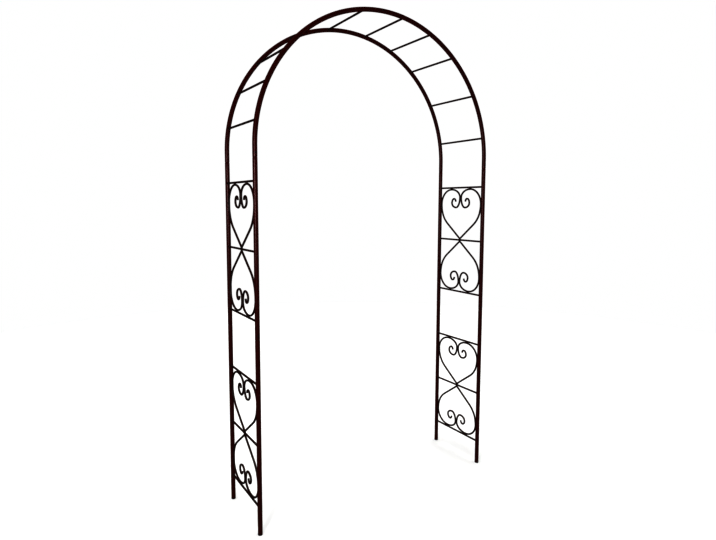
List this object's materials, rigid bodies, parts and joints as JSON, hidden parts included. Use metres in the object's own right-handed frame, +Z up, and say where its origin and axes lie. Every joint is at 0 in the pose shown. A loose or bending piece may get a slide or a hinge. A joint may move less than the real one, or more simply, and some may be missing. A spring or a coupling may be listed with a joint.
{
  "type": "garden arch",
  "caption": "Round-topped steel garden arch for climbing plants: twin tube arches joined by cross rods, with heart scroll panels between the legs.",
  "frame": {"origin": "on the ground, at the middle of the arch's width and depth", "axes": "+X across the walk-through from the left legs to the right, +Y through the arch from front to rear, +Z up"},
  "size_m": [1.402, 0.4014, 2.501],
  "materials": {
    "coated_tube": "satin dark brown powder coat on steel tube",
    "coated_rod": "satin dark brown powder coat on steel rod",
    "black_screw": "blackened steel",
    "foot_plastic": "black moulded plastic"
  },
  "bodies": {
    "root": {"lower_leg_front_left": "coated_tube", "lower_leg_front_right": "coated_tube", "lower_leg_rear_left": "coated_tube", "lower_leg_rear_right": "coated_tube", "upper_leg_front_left": "coated_tube", "upper_leg_front_right": "coated_tube", "upper_leg_rear_left": "coated_tube", "upper_leg_rear_right": "coated_tube", "arch_front_left": "coated_tube", "arch_front_right": "coated_tube", "arch_rear_left": "coated_tube", "arch_rear_right": "coated_tube", "rail_lower_left_bottom": "coated_rod", "rail_lower_left_middle": "coated_rod", "rail_lower_left_top": "coated_rod", "rail_lower_right_bottom": "coated_rod", "rail_lower_right_middle": "coated_rod", "rail_lower_right_top": "coated_rod", "rail_upper_left_bottom": "coated_rod", "rail_upper_left_middle": "coated_rod", "rail_upper_left_top": "coated_rod", "rail_upper_right_bottom": "coated_rod", "rail_upper_right_middle": "coated_rod", "rail_upper_right_top": "coated_rod", "rung_right_1": "coated_rod", "rung_right_2": "coated_rod", "rung_right_3": "coated_rod", "rung_right_4": "coated_rod", "rung_right_5": "coated_rod", "rung_left_1": "coated_rod", "rung_left_2": "coated_rod", "rung_left_3": "coated_rod", "rung_left_4": "coated_rod", "rung_left_5": "coated_rod", "heart_lower_left_top": "coated_rod", "heart_lower_left_bottom": "coated_rod", "heart_lower_right_top": "coated_rod", "heart_lower_right_bottom": "coated_rod", "heart_upper_left_top": "coated_rod", "heart_upper_left_bottom": "coated_rod", "heart_upper_right_top": "coated_rod", "heart_upper_right_bottom": "coated_rod", "screw_apex_front": "black_screw", "screw_apex_rear": "black_screw", "screw_leg_front_left": "black_screw", "screw_leg_front_right": "black_screw", "screw_leg_rear_left": "black_screw", "screw_leg_rear_right": "black_screw", "screw_arch_front_left": "black_screw", "screw_arch_front_right": "black_screw", "screw_arch_rear_left": "black_screw", "screw_arch_rear_right": "black_screw", "foot_plug_front_left": "foot_plastic", "foot_plug_front_right": "foot_plastic", "foot_plug_rear_left": "foot_plastic", "foot_plug_rear_right": "foot_plastic"}
  },
  "joints": []
}
